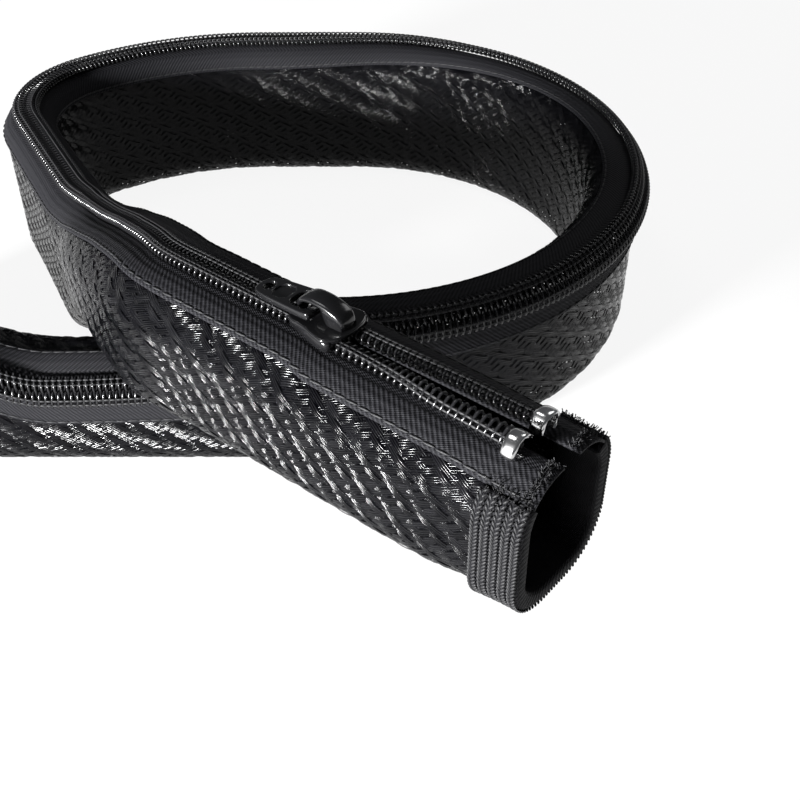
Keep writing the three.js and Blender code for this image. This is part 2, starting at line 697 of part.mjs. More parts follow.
// Pull tab: a flat plate with a recessed panel and a hole, and two arms joined by a bar under the cap
function pullGeometry() {
  const armInner = CAP_WIDTH / 2 + PULL_SIDE_GAP;
  const armOuter = armInner + PULL_ARM;
  const plateHalf = PULL_WIDTH / 2;
  const plateStart = -PULL_OPENING - PULL_NECK;
  const plateEdge = plateStart + PULL_NECK / 2;
  const tip = -PULL_LENGTH;
  const plate = [
    [PULL_FRONT, armOuter - PULL_FRONT_CUT],
    [PULL_FRONT - PULL_FRONT_CUT, armOuter],
    [plateStart, plateHalf],
    [tip + PULL_TIP_CUT, plateHalf * PULL_TIP_SHOULDER],
    [tip, plateHalf * PULL_TIP_TAPER],
  ];
  const opening = mirrorY([
    [BAR_RADIUS, armInner],
    [plateEdge + PULL_OPENING_CUT, armInner],
    [plateEdge, armInner - PULL_OPENING_CUT],
  ]).reverse();
  const hole = [];
  const holeSides = 12;
  for (let k = 0; k < holeSides; k++) {
    const angle = (-2 * Math.PI * k) / holeSides;
    hole.push([
      tip + PULL_HOLE_INSET + PULL_HOLE_RADIUS * (1 + Math.cos(angle)),
      PULL_HOLE_RADIUS * PULL_HOLE_STRETCH * Math.sin(angle),
    ]);
  }
  const flat = toSolid(
    extruded(mirrorY(plate), PULL_THICKNESS, [opening, hole]).translate(0, 0, -PULL_THICKNESS / 2),
  );
  const panel = toSolid(
    new THREE.BoxGeometry(PULL_PANEL_LENGTH, PULL_WIDTH - 2 * PULL_RIM, PULL_THICKNESS).translate(
      plateStart - PULL_PANEL_FROM_NECK - PULL_PANEL_LENGTH / 2,
      0,
      PULL_THICKNESS - PULL_PANEL_DEPTH,
    ),
  );
  const bar = toSolid(
    new THREE.CylinderGeometry(BAR_RADIUS, BAR_RADIUS, 2 * (armOuter - BAR_END_CUT), 12),
  );
  return toGeometry(flat.subtract(panel).add(bar));
}

// Materials
const fabric = (color) => new THREE.MeshStandardMaterial({ color, roughness: 0.75, metalness: 0 });
const braidBlack = new THREE.MeshStandardMaterial({ color: 0x121315, roughness: 0.35, metalness: 0 });
const tapeBlack = fabric(0x1a1c20);
const coilBlack = new THREE.MeshStandardMaterial({ color: 0x0d0e10, roughness: 0.3, metalness: 0 });
const threadBlack = fabric(0x17181a);
const hemBlack = fabric(0x141416);
const sliderBlack = new THREE.MeshStandardMaterial({ color: 0x0a0a0b, roughness: 0.2, metalness: 0.3 });
const steel = new THREE.MeshStandardMaterial({ color: 0xc9ccd0, roughness: 0.3, metalness: 1 });

const sleeve = new THREE.Group();
function piece(name, geometry, material, parent = sleeve) {
  const mesh = new THREE.Mesh(geometry, material);
  mesh.name = name;
  parent.add(mesh);
  return mesh;
}

piece("braid", braidGeometry(), braidBlack);
for (const [name, side] of [["left", -1], ["right", 1]]) {
  const tapeEnd = wallEnd(tapeProfile.length);
  piece("tape_" + name, alongRoute(tapeProfile, side, 0, TOTAL_LENGTH, tapeEnd), tapeBlack);
  piece("coil_" + name, alongRoute(coilProfile, side, coilFrom, coilTo), coilBlack);
  piece("coil_cord_" + name, alongRoute(cordProfile, side, coilFrom, coilTo), threadBlack);
  piece("seam_" + name, alongRoute(seamProfile, side, 0, TOTAL_LENGTH), threadBlack);
  piece(
    "top_stop_" + name,
    alongRoute(topStopProfile, side, STOP_FROM_MOUTH, STOP_FROM_MOUTH + STOP_LENGTH),
    steel,
  );
}
piece(
  "bottom_stop",
  alongRoute(bottomStopProfile, 1, coilTo - STOP_LENGTH, TOTAL_LENGTH - STOP_FROM_MOUTH),
  steel,
);
piece("hem_front", hemGeometry(fromMouth), hemBlack);
piece("hem_rear", hemGeometry(fromEnd), hemBlack);
piece("hem_thread_front", hemThreadGeometry(fromMouth), threadBlack);
piece("hem_thread_rear", hemThreadGeometry(fromEnd), threadBlack);

const slider = new THREE.Group();
const sliderSpot = routeAt(SLIDER_FROM_MOUTH);
slider.position.set(sliderSpot.x, sliderSpot.y, RUN_TOP);
sleeve.add(slider);
piece("slider_body", sliderBodyGeometry(), sliderBlack, slider);
piece("slider_cap", capGeometry(), sliderBlack, slider);
piece("lock_spring", springGeometry(), steel, slider);
const pull = piece("pull_tab", pullGeometry(), sliderBlack, slider);
pull.position.set(barX, 0, barHeight);
pull.rotation.y = degrees(PULL_REST_TILT);

// Stand the finished sleeve on z = 0 with the middle of its outline over the origin
const outline = new THREE.Box3().setFromObject(sleeve);
const middle = outline.getCenter(new THREE.Vector3());
sleeve.position.set(-middle.x, -middle.y, -outline.min.z);

export default sleeve;
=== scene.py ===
import math

import bmesh
import bpy
import numpy as np
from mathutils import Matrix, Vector


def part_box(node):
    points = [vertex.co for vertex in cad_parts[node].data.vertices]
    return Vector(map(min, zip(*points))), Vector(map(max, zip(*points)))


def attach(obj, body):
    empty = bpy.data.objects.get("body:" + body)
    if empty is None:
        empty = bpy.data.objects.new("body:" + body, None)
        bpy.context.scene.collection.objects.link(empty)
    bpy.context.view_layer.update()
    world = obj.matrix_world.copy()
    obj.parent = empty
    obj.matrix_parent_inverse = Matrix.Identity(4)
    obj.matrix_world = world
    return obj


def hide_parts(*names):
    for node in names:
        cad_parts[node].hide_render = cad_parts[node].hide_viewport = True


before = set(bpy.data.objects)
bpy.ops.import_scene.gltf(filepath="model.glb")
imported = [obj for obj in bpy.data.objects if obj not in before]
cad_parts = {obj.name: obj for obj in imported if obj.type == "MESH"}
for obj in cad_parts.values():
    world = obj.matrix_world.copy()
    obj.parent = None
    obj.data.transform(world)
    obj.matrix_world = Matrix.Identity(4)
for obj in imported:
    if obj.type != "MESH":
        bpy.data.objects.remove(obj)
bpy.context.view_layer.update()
MM = 0.001

# Sizes shared with the part's source
TAPE_WIDTH = 8
TAPE_THICKNESS = 0.55
TAPE_EDGE = 1.0
TOUCH_GAP = 0.3
TAPE_LOW = TOUCH_GAP
TAPE_HIGH = TAPE_LOW + TAPE_THICKNESS
TAPE_OUTER = TAPE_EDGE + TAPE_WIDTH
BRAID_EDGE = TAPE_OUTER - 1.5
BRAID_WALL = 0.7
COIL_LOW = TAPE_HIGH + TOUCH_GAP
COIL_WIDTH = 2.9
COIL_HEIGHT = 2.1
COIL_INNER = 0.15
COIL_OUTER = COIL_INNER + COIL_WIDTH
CORNER_RADIUS = 8
FOOT_HALF_WIDTH = 3
SLIDER_LENGTH = 12
SLIDER_FROM_MOUTH = 49
STOP_FROM_MOUTH = 6
STOP_LENGTH = 2.6
HEM_WIDTH = 9
HEM_RIBS = 5
HEM_RIB_HEIGHT = 0.6
HEM_LAYER = 0.7
RUN_TOP = 66.6
# Half the gap of the open zipper, set from the photo and narrower than in the part's source
OPEN_SPREAD = 1.1

# The route from the mouth backwards: straight stretches, and bends with a radius and a turn in degrees
RUN_LENGTH = 78
LEFT_LENGTH = 115
BACK_LENGTH = 28
TAIL_LENGTH = 88
END_LENGTH = 26
RUN_RADIUS, RUN_TURN = 45, 22
LEFT_RADIUS, LEFT_TURN = 29, 79
BACK_RADIUS, BACK_TURN = 81, 39.7
LOOP_RADIUS = 70
END_RADIUS, END_TURN = 60, 39.3
# Length and radius of each stretch, in the order in which the route passes them
STRETCHES = [
    (RUN_LENGTH, None),
    (RUN_RADIUS * math.radians(RUN_TURN), RUN_RADIUS),
    (LEFT_LENGTH, None),
    (LEFT_RADIUS * math.radians(LEFT_TURN), LEFT_RADIUS),
    (BACK_RADIUS * math.radians(BACK_TURN), BACK_RADIUS),
    (BACK_LENGTH, None),
    (LOOP_RADIUS * math.pi, LOOP_RADIUS),
    (TAIL_LENGTH, None),
    (END_RADIUS * math.radians(END_TURN), END_RADIUS),
    (END_LENGTH, None),
]
START = [sum(length for length, _ in STRETCHES[:k]) for k in range(len(STRETCHES) + 1)]
TOTAL = START[-1]


def route_at(distance):
    """Place and heading on the table at distances from the mouth."""
    distance = np.asarray(distance, float)
    x, y, heading = 0 * distance, 0 * distance, 0 * distance
    corner_x, corner_y, corner_heading = 0.0, 0.0, math.pi
    for k, (length, radius) in enumerate(STRETCHES):
        here = distance >= START[k] if k else np.ones(distance.shape, bool)
        part = (distance - START[k])[here]
        if radius:
            turned = corner_heading - part / radius
            x[here] = corner_x + radius * (math.sin(corner_heading) - np.sin(turned))
            y[here] = corner_y + radius * (np.cos(turned) - math.cos(corner_heading))
            heading[here] = turned
            end = corner_heading - length / radius
            corner_x += radius * (math.sin(corner_heading) - math.sin(end))
            corner_y += radius * (math.cos(end) - math.cos(corner_heading))
            corner_heading = end
        else:
            x[here] = corner_x + part * math.cos(corner_heading)
            y[here] = corner_y + part * math.sin(corner_heading)
            heading[here] = corner_heading
            corner_x += length * math.cos(corner_heading)
            corner_y += length * math.sin(corner_heading)
    return x, y, heading


def crossing():
    """Distances along the route at which the front end lies over the other end, and that end under it."""
    over, under = START[2], START[7]
    (ax, bx), (ay, by), turn = route_at([over, under])
    first = np.array([math.cos(turn[0]), math.sin(turn[0])])
    second = np.array([math.cos(turn[1]), math.sin(turn[1])])
    share = np.linalg.solve(np.stack([first, -second], 1), [bx - ax, by - ay])
    return over + share[0], under + share[1]


OVER_AT, UNDER_AT = crossing()
REST_HALF = 20
CROSSED_TOP = 29
BAND_TOP = 40.5
END_TOP = 34
RIDGE = 0.35
OVER_BOTTOM = CROSSED_TOP + TAPE_HIGH + TOUCH_GAP + RIDGE + RIDGE + TOUCH_GAP
END_BOTTOM = TOUCH_GAP + HEM_LAYER + HEM_RIB_HEIGHT
MOUTH_BOTTOM, MOUTH_WIDTH = 40.5, 22.5
NECK_AT, NECK_BOTTOM, NECK_WIDTH = 22, 38.5, 25
RUN_BOTTOM, RUN_WIDTH = 37.5, 26
CLIMB_TOP, CLIMB_LIFT = 64.5, 3
SUMMIT_TOP, SUMMIT_WIDTH = 58.5, 27
DESCENT_TOP, DESCENT_WIDTH = 51, 25
STEP_PAST, STEP_TOP, STEP_BOTTOM, STEP_WIDTH = 40, 45, 10, 18
LANDING_PAST, LANDING_TOP, LANDING_WIDTH = 58, 41, 16
BAND_WIDTH = 13.5
END_WIDTH = 19
UNDER_HALF = REST_HALF + 3
# How far the zipper has rolled off the top, measured round the section
ROLL_BACK, ROLL_LOOP, ROLL_TAIL, ROLL_CROSSED, ROLL_PAST, ROLL_END = 1, 6, 7, 9, 11, 1
ROLL_LOOP_AT = START[6] + 1.3 * LOOP_RADIUS
# Section at places along the route: distance, top, bottom, width, and roll of the zipper
PLACES = np.array([
    (0, RUN_TOP, MOUTH_BOTTOM, MOUTH_WIDTH, 0),
    (NECK_AT, RUN_TOP, NECK_BOTTOM, NECK_WIDTH, 0),
    (RUN_LENGTH, RUN_TOP, RUN_BOTTOM, RUN_WIDTH, 0),
    (OVER_AT - REST_HALF, CLIMB_TOP, OVER_BOTTOM + CLIMB_LIFT, SUMMIT_WIDTH, 0),
    (OVER_AT, SUMMIT_TOP, OVER_BOTTOM, SUMMIT_WIDTH, 0),
    (OVER_AT + REST_HALF, DESCENT_TOP, OVER_BOTTOM, DESCENT_WIDTH, 0),
    (OVER_AT + STEP_PAST, STEP_TOP, STEP_BOTTOM, STEP_WIDTH, 0),
    (OVER_AT + LANDING_PAST, LANDING_TOP, 0, LANDING_WIDTH, 0),
    (START[3], BAND_TOP, 0, BAND_WIDTH, 0),
    (START[5], BAND_TOP, 0, BAND_WIDTH, 0),
    (START[6], BAND_TOP, 0, BAND_WIDTH, ROLL_BACK),
    (ROLL_LOOP_AT, BAND_TOP, 0, BAND_WIDTH, ROLL_LOOP),
    (START[7], BAND_TOP, 0, BAND_WIDTH, ROLL_TAIL),
    (UNDER_AT - UNDER_HALF, CROSSED_TOP, 0, END_WIDTH, ROLL_CROSSED),
    (UNDER_AT + UNDER_HALF, CROSSED_TOP, 0, END_WIDTH, ROLL_PAST),
    (START[8], END_TOP, 0, END_WIDTH, ROLL_CROSSED),
    (TOTAL - 2 * HEM_WIDTH, END_TOP, 0, END_WIDTH, ROLL_END),
    (TOTAL - HEM_WIDTH, END_TOP, END_BOTTOM, END_WIDTH, 0),
    (TOTAL, END_TOP, END_BOTTOM, END_WIDTH, 0),
])


def ease(share):
    share = np.clip(share, 0, 1)
    return share * share * (3 - 2 * share)


def place_slopes():
    """Slopes at the places that carry the section smoothly and never past the values on either side."""
    secants = np.diff(PLACES[:, 1:], axis=0) / np.diff(PLACES[:, 0])[:, None]
    before, after = secants[:-1], secants[1:]
    total = np.where(before * after > 0, before + after, 1)
    inner = np.where(before * after > 0, 2 * before * after / total, 0)
    return np.vstack([0 * inner[:1], inner, 0 * inner[:1]])


SLOPES = place_slopes()


def section_at(distance):
    """Foot, width, height, corner radius, way round and roll of the section at distances."""
    along = np.clip(distance, 0, TOTAL)
    after = np.clip(np.searchsorted(PLACES[:, 0], along), 1, len(PLACES) - 1)
    a, b = PLACES[after - 1], PLACES[after]
    span = (b - a)[..., :1]
    share = (along[..., None] - a[..., :1]) / span
    eased = share * share * (3 - 2 * share)
    leaving = share * (1 - share) ** 2 * span * SLOPES[after - 1]
    arriving = share * share * (1 - share) * span * SLOPES[after]
    mixed = a[..., 1:] + (b - a)[..., 1:] * eased + leaving - arriving
    top, bottom, width, roll = np.moveaxis(mixed, -1, 0)
    radius = np.minimum(CORNER_RADIUS, width / 2 - 0.5)
    foot = np.maximum(0, FOOT_HALF_WIDTH - (width / 2 - radius))
    bottom = bottom - radius + np.sqrt(radius**2 - foot**2)
    height = top - bottom
    girth = 2 * (width + height) - (8 - 2 * math.pi) * radius
    return bottom, width, height, radius, girth, roll


def spread_at(distance):
    """Half of the gap that the open zipper leaves."""
    nose = SLIDER_FROM_MOUTH - SLIDER_LENGTH / 2 + 1
    tail = nose + 0.7 * SLIDER_LENGTH
    return OPEN_SPREAD * ease((tail - np.asarray(distance, float)) / (tail - nose))


def girth_at(distance):
    return section_at(distance)[4]


def fabric(distance, round_, height):
    """Points on the fabric: distance from the mouth, way round from the zipper, and height off the fabric."""
    given = [np.asarray(values, float) for values in (distance, round_, height)]
    distance, round_, height = np.broadcast_arrays(*given)
    x, y, heading = route_at(distance)
    bottom, width, tall, radius, girth, roll = section_at(distance)
    left = np.mod(roll + round_, girth)
    mirrored = left > girth / 2
    left = np.where(mirrored, girth - left, left)
    flat, wall, arc = width / 2 - radius, tall - 2 * radius, math.pi / 2 * radius
    upper = np.clip((left - flat) / radius, 0, math.pi / 2)
    lower = np.clip((left - flat - arc - wall) / radius, 0, math.pi / 2)
    turn = upper + lower
    out_across, out_up = np.sin(turn), np.cos(turn)
    past = np.maximum(0, left - flat - 2 * arc - wall)
    across = np.minimum(left, flat) + radius * np.sin(upper) - radius * (1 - np.cos(lower)) - past
    down = np.clip(left - flat - arc, 0, wall)
    up = tall - radius * (1 - np.cos(upper)) - down - radius * np.sin(lower)
    side = np.where(mirrored, -1, 1) * (across + out_across * height)
    spot = [x - np.sin(heading) * side, y + np.cos(heading) * side, bottom + up + out_up * height]
    return np.stack(spot, -1) + SHIFT


cap_low, cap_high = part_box("slider_cap")
SLIDER_CAP_LOW = 4.8
SHIFT = np.array([
    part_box("hem_front")[1].x / MM,
    (cap_low.y + cap_high.y) / 2 / MM,
    cap_low.z / MM - RUN_TOP - SLIDER_CAP_LOW,
])
SLIDER_AT = SHIFT + np.array([-SLIDER_FROM_MOUTH, 0, RUN_TOP])


def unit(vectors):
    return vectors / np.maximum(np.linalg.norm(vectors, axis=-1, keepdims=True), 1e-9)


def blunted(value, power):
    """A sine or cosine made squarer, for rounded boxes instead of circles."""
    return np.sign(value) * np.abs(value) ** power


class Surface:
    """Gathers the points and faces of one piece, with the cloth's own coordinates for its weave."""

    def __init__(self):
        self.points, self.cloth, self.faces, self.count = [], [], [], 0

    def add(self, points, faces, cloth=None):
        points = np.asarray(points, float).reshape(-1, 3)
        cloth = np.zeros(points.shape) if cloth is None else np.asarray(cloth, float).reshape(-1, 3)
        self.points.append(points)
        self.cloth.append(cloth)
        self.faces += [[corner + self.count for corner in face] for face in faces]
        self.count += len(points)

    def grid(self, points, cloth=None, closed=False, capped=False):
        """Rings of points joined into four-sided faces."""
        rings, columns = points.shape[:2]
        index = np.arange(rings * columns).reshape(rings, columns)
        near = index if closed else index[:, :-1]
        far = np.roll(index, -1, axis=1) if closed else index[:, 1:]
        faces = np.stack([near[:-1], far[:-1], far[1:], near[1:]], -1).reshape(-1, 4).tolist()
        if capped:
            faces += [index[0][::-1].tolist(), index[-1].tolist()]
        self.add(points, faces, cloth)

    def grids(self, points, cloth=None, closed=False):
        """Many grids of one size at once: pieces by rings by columns."""
        count, rings, columns = points.shape[:3]
        index = np.arange(count * rings * columns).reshape(count, rings, columns)
        near = index if closed else index[:, :, :-1]
        far = np.roll(index, -1, axis=2) if closed else index[:, :, 1:]
        faces = np.stack([near[:, :-1], far[:, :-1], far[:, 1:], near[:, 1:]], -1).reshape(-1, 4).tolist()
        self.add(points, faces, cloth)

    def tube(self, path, towards, radius, sides=6, capped=True):
        """A round bar along a path, with `towards` a direction across it at each point."""
        forward = unit(np.gradient(path, axis=0))
        side = unit(np.cross(forward, towards))
        up = np.cross(side, forward)
        turn = np.arange(sides) / sides * 2 * math.pi
        radius = np.broadcast_to(radius, len(path))[:, None, None]
        ring = np.cos(turn)[:, None] * up[:, None] + np.sin(turn)[:, None] * side[:, None]
        self.grid(path[:, None] + radius * ring, closed=True, capped=capped)

    def beads(self, middle, forward, outward, size):
        """Short rounded stitches at places, lengthwise along `forward`, flat against `outward`."""
        length, width, thick = size
        across = unit(np.cross(outward, forward))
        forward = unit(forward)
        outward = np.cross(forward, across)
        share = np.array([-0.5, -0.36, 0, 0.36, 0.5])
        swell = np.array([0.12, 0.75, 1, 0.75, 0.12])
        turn = np.arange(6) / 6 * 2 * math.pi
        ring = (
            width / 2 * np.cos(turn)[None, :, None] * across[:, None]
            + thick / 2 * np.sin(turn)[None, :, None] * outward[:, None]
        )
        points = (
            middle[:, None, None]
            + (length * share)[None, :, None, None] * forward[:, None, None]
            + swell[None, :, None, None] * ring[:, None]
        )
        self.grids(points, closed=True)

    def stitches(self, distance, round_, height, slant, size):
        """Stitches that lie on the fabric, turned by `slant` from along the route to round it."""
        middle = fabric(distance, round_, height)
        along = unit(fabric(distance + 0.2, round_, height) - middle)
        outward = unit(fabric(distance, round_, height + 0.5) - middle)
        sideways = np.cross(outward, along)
        slant = np.broadcast_to(slant, np.shape(distance))[:, None]
        self.beads(middle, along * np.cos(slant) + sideways * np.sin(slant), outward, size)


def piece(name, surface, material, body="sleeve", replaces=(), turned=True):
    """Makes the Blender object of a piece, in metres, that rides on a body."""
    mesh = bpy.data.meshes.new(name)
    mesh.from_pydata((np.concatenate(surface.points) * MM).tolist(), [], surface.faces)
    cloth = mesh.attributes.new("cloth", "FLOAT_VECTOR", "POINT")
    cloth.data.foreach_set("vector", np.concatenate(surface.cloth).ravel())
    mesh.polygons.foreach_set("use_smooth", [True] * len(mesh.polygons))
    if turned:
        form = bmesh.new()
        form.from_mesh(mesh)
        bmesh.ops.recalc_face_normals(form, faces=form.faces)
        form.to_mesh(mesh)
        form.free()
    mesh.materials.append(material)
    made = bpy.data.objects.new(name, mesh)
    bpy.context.scene.collection.objects.link(made)
    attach(made, body)
    if replaces:
        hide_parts(*replaces)
    return made


# Materials
def shader(name, color, roughness, **settings):
    """A material with its main shader, and the nodes and links to add detail to it."""
    material = bpy.data.materials.new(name)
    material.use_nodes = True
    tree = material.node_tree
    main = tree.nodes["Principled BSDF"]
    main.inputs["Base Color"].default_value = (*color, 1)
    main.inputs["Roughness"].default_value = roughness
    for key, value in settings.items():
        main.inputs[key.replace("_", " ")].default_value = value
    material.diffuse_color = (*color, 1)
    return material, tree, main


def joined(tree, kind, *sources, **settings):
    """A node of a kind with its first inputs joined to sockets or set to values."""
    node = tree.nodes.new(kind)
    for key, value in settings.items():
        setattr(node, key, value)
    for socket, source in zip(node.inputs, sources):
        if isinstance(source, bpy.types.NodeSocket):
            tree.links.new(source, socket)
        elif source is not None:
            socket.default_value = source
    return node


def maths(tree, operation, *sources):
    return joined(tree, "ShaderNodeMath", *sources, operation=operation).outputs[0]


def cloth_axes(tree):
    """The cloth's own coordinates, in millimetres along and across it, and a third value for variation."""
    cloth = tree.nodes.new("ShaderNodeAttribute")
    cloth.attribute_name = "cloth"
    return joined(tree, "ShaderNodeSeparateXYZ", cloth.outputs["Vector"]).outputs


def wave(tree, value, length):
    """A smooth ridge from 0 to 1 each length of the value."""
    angle = maths(tree, "MULTIPLY", value, 2 * math.pi / length)
    return maths(tree, "MULTIPLY_ADD", maths(tree, "SINE", angle), 0.5, 0.5)


def place_noise(tree, scale, detail=3.0):
    place = tree.nodes.new("ShaderNodeTexCoord").outputs["Object"]
    noise = tree.nodes.new("ShaderNodeTexNoise")
    tree.links.new(place, noise.inputs["Vector"])
    noise.inputs["Scale"].default_value = scale
    noise.inputs["Detail"].default_value = detail
    return noise.outputs["Fac"]


def bump(tree, main, height, distance, strength=1.0):
    node = tree.nodes.new("ShaderNodeBump")
    tree.links.new(height, node.inputs["Height"])
    node.inputs["Distance"].default_value = distance
    node.inputs["Strength"].default_value = strength
    tree.links.new(node.outputs["Normal"], main.inputs["Normal"])


def tone(tree, main, value, dark, light):
    """Colours the surface from dark to light as the value goes from 0 to 1."""
    ramp = tree.nodes.new("ShaderNodeValToRGB")
    ramp.color_ramp.elements[0].color = (*dark, 1)
    ramp.color_ramp.elements[1].color = (*light, 1)
    tree.links.new(value, ramp.inputs["Fac"])
    tree.links.new(ramp.outputs["Color"], main.inputs["Base Color"])


def strand_material():
    material, tree, main = shader("strand", (0.012, 0.012, 0.014), 0.17, Specular_IOR_Level=0.12)
    _, across, shade = cloth_axes(tree)
    filaments = maths(tree, "ABSOLUTE", maths(tree, "COSINE", maths(tree, "MULTIPLY", across, 2 * math.pi)))
    bump(tree, main, filaments, 0.0001, 1.0)
    tone(tree, main, shade, (0.0005, 0.0005, 0.0008), (0.0025, 0.0025, 0.003))
    return material


HERRINGBONE_AXIS = 2.8
TAPE_RIB = 1.05
TAPE_THREAD = 0.36


def tape_material(name, light):
    """Cloth woven in slanting ribs that meet on one line, with finer threads in them. Its colour has painted
    shade: darker in the grooves between threads, lighter on the ridges.
    """
    material, tree, main = shader(name, (0.01, 0.01, 0.012), 0.65, Specular_IOR_Level=0.07)
    along, across, _ = cloth_axes(tree)
    apex = maths(tree, "ABSOLUTE", maths(tree, "SUBTRACT", across, HERRINGBONE_AXIS))
    rib = wave(tree, maths(tree, "ADD", along, apex), TAPE_RIB)
    slanted = maths(tree, "SUBTRACT", maths(tree, "MULTIPLY", along, 0.5), apex)
    thread = wave(tree, slanted, TAPE_THREAD)
    weave = maths(tree, "MULTIPLY_ADD", thread, 0.35, maths(tree, "MULTIPLY", rib, 0.65))
    bump(tree, main, weave, 0.00016, 0.9)
    # Painted shade: the colour follows the weave's height, dark in the grooves between threads and lighter on
    # the ridges
    tone(tree, main, weave, (0.001, 0.001, 0.0015), (0.014 * light, 0.014 * light, 0.016 * light))
    return material


def yarn_material(name, light):
    material, tree, main = shader(name, (light, light, 1.1 * light), 0.55, Specular_IOR_Level=0.2)
    fuzz = place_noise(tree, 2600, 4)
    bump(tree, main, fuzz, 0.00008, 0.8)
    dark = (0.3 * light, 0.3 * light, 0.35 * light)
    tone(tree, main, fuzz, dark, (1.7 * light, 1.7 * light, 1.8 * light))
    return material


def gloss_material(name, light, roughness, specular, coat=0.0):
    material, tree, main = shader(
        name, (light, light, 1.1 * light), roughness, Coat_Weight=coat, Specular_IOR_Level=specular
    )
    main.inputs["Coat Roughness"].default_value = 0.08
    grain = place_noise(tree, 900, 5)
    bump(tree, main, grain, 0.00001, 0.5)
    spread = maths(tree, "MULTIPLY_ADD", grain, 0.14, roughness - 0.07)
    tree.links.new(spread, main.inputs["Roughness"])
    return material


def metal_material(name, light, roughness):
    material, tree, main = shader(name, (light, light, light), roughness, Metallic=1.0)
    wear = place_noise(tree, 700, 4)
    bump(tree, main, wear, 0.00003, 0.6)
    tree.links.new(maths(tree, "MULTIPLY_ADD", wear, 0.2, roughness - 0.1), main.inputs["Roughness"])
    return material


STRAND = strand_material()
TAPE = tape_material("tape", 1.0)
COIL = gloss_material("coil", 0.006, 0.2, 0.4)
STITCH = yarn_material("stitch", 0.012)
KNIT = yarn_material("knit", 0.01)
HEM_CLOTH = tape_material("hem cloth", 0.8)
METAL = metal_material("bright metal", 0.6, 0.2)
SPRING = metal_material("spring steel", 0.5, 0.3)
ENAMEL = gloss_material("enamel", 0.004, 0.2, 0.3, 0.25)

# Braid: two families of flat strands, each over two and under two of the other
STRANDS_ROUND = 45
STRAND_WIDTH = 1.5
STRAND_TURN = math.radians(28)
WALL_ROUND = 78
CROSSING_STEP = WALL_ROUND / STRANDS_ROUND / 2 / math.tan(STRAND_TURN)
HALF_WAVE = 0.17
STRAND_DOME = 0.13
BRAID_MIDDLE = -0.28
STRAND_WANDER = 0.06
BRAID_TRIM = 0.8
FINE_UNTIL = RUN_LENGTH + 25


def braid_family(name, side, replaces):
    """One family of strands. Those of side 1 and of side -1 run round the wall in opposite ways."""
    surface = Surface()
    crossings = 2 * STRANDS_ROUND
    steps = np.arange(0, 2 * crossings + 1) / 2
    last = int(TOTAL / (2 * CROSSING_STEP)) + STRANDS_ROUND
    rng = np.random.default_rng(5)
    for strand in range(-STRANDS_ROUND, last):
        start = (2 * strand + (0 if side > 0 else 1)) * CROSSING_STEP
        distance = start + steps * CROSSING_STEP
        inside = (distance > BRAID_TRIM) & (distance < TOTAL - BRAID_TRIM)
        kept = inside & ((distance < FINE_UNTIL) | (steps % 1 == 0))
        if kept.sum() < 2:
            continue
        t, d = steps[kept], distance[kept]
        phase = strand - 0.5 if side > 0 else 1.5 - strand
        over = np.cos((t + phase) * math.pi / 2)
        share = t / crossings if side > 0 else 1 - t / crossings
        width = STRAND_WIDTH / math.cos(STRAND_TURN) / 2
        edge = BRAID_EDGE + spread_at(d)
        wall = girth_at(d) - 2 * edge
        middle = edge + share * wall
        lift = BRAID_MIDDLE + HALF_WAVE * over
        wander = STRAND_WANDER * np.sin(d * 0.7 + rng.uniform(0, 6))
        columns = [
            fabric(d, middle + wander + width * place, lift + STRAND_DOME * (1 - abs(place)))
            for place in (-1, 0, 1)
        ]
        shade = rng.uniform(0, 1)
        cloth = np.stack([np.stack([d, 0 * d + place, 0 * d + shade], -1) for place in (-1, 0, 1)], 1)
        surface.grid(np.stack(columns, 1), cloth)
    return piece(name, surface, STRAND, replaces=replaces, turned=False)


warp = braid_family("braid_warp", 1, ["braid"])
weft = braid_family("braid_weft", -1, [])


def ring_places(start, end, step):
    return np.linspace(start, end, int((end - start) / step) + 2)


CORD_DEPTH = 0.06
CORD_PITCH = 1.6
TAPE_EDGE_DROP = 0.2


def tape(name, side):
    """A woven tape with lengthwise cords, thin at its edges."""
    distance = ring_places(0, TOTAL, 1.5)[:, None]
    across = np.linspace(TAPE_EDGE, TAPE_OUTER, 21)
    cords = CORD_DEPTH * np.cos((across - TAPE_EDGE) * 2 * math.pi / CORD_PITCH) - CORD_DEPTH
    top = TAPE_HIGH + cords
    top[[0, -1]] -= TAPE_EDGE_DROP
    round_ = np.concatenate([across, across[::-1]])
    height = np.concatenate([top, 0 * top + TAPE_LOW])
    spread = spread_at(distance)
    points = fabric(distance, side * (round_ + spread), height)
    cloth = np.stack([*np.broadcast_arrays(distance, round_ - TAPE_EDGE, 0.0)], -1)
    surface = Surface()
    surface.grid(points, cloth, closed=True, capped=True)
    piece(name + "_woven", surface, TAPE, replaces=[name])


tape("tape_left", -1)
tape("tape_right", 1)

# Coils: a turn of filament each pitch, with heads that mesh over the middle where the zipper is closed
COIL_PITCH = 1.4
FILAMENT = 0.31
HEAD_REACH = 0.4
COIL_ROLL = {1: math.radians(52), -1: math.radians(12)}
COIL_ROLL_FROM, COIL_ROLL_OVER = SLIDER_FROM_MOUTH - 8, 22
COIL_START = STOP_FROM_MOUTH + TOUCH_GAP
CORD_ACROSS = 1.5
COIL_STITCH_ROWS = (1.3, 2.1)


def coil_place(distance, side, across, up):
    """A point of a coil: across from the zipper's middle and up off the fabric, rolled where it is open."""
    roll = COIL_ROLL[side] * ease((COIL_ROLL_FROM - distance) / COIL_ROLL_OVER)
    pivot_across, pivot_up = COIL_OUTER, COIL_LOW
    a, b = across - pivot_across, up - pivot_up
    turned_across = pivot_across + a * np.cos(roll) + b * np.sin(roll)
    turned_up = pivot_up - a * np.sin(roll) + b * np.cos(roll)
    return fabric(distance, side * (turned_across + spread_at(distance)), turned_up)


